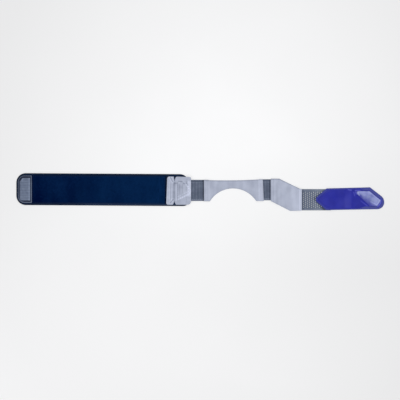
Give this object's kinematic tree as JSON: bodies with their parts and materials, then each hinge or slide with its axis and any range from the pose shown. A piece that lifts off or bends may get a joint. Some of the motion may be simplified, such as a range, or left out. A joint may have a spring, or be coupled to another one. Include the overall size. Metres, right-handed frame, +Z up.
{
  "type": "wrist support",
  "caption": "Flat-laid wrist support: padded navy loop band, grey thumb strap with a round notch, elastic links and a blue pull tab.",
  "frame": {"origin": "middle of the box's underside, on the surface that the support lies on", "axes": "+X along the support from the band's free end to the pull tab, +Y across it away from the thumb notch, +Z up through the layers"},
  "size_m": [0.5882, 0.0604, 0.0057],
  "materials": {
    "navy_laminate": "knitted laminate over thin foam",
    "navy_velour": "brushed loop velour",
    "ribbed_patch": "ribbed coated pull patch with a sewn border",
    "grey_laminate": "coated non-stretch fabric",
    "woven_elastic": "woven elastic webbing",
    "mesh_elastic": "open mesh elastic",
    "blue_tab": "coated fabric with a moulded rim",
    "grip_film": "translucent moulded grip"
  },
  "bodies": {
    "root": {"band_base": "navy_laminate", "loop_facing": "navy_velour", "end_patch": "ribbed_patch", "anchor_tab": "grey_laminate", "elastic_near": "woven_elastic", "thumb_strap": "grey_laminate", "elastic_far": "woven_elastic", "link_panel": "grey_laminate", "mesh_strip": "mesh_elastic", "pull_tab": "blue_tab", "grip_patch": "grip_film"}
  },
  "joints": []
}
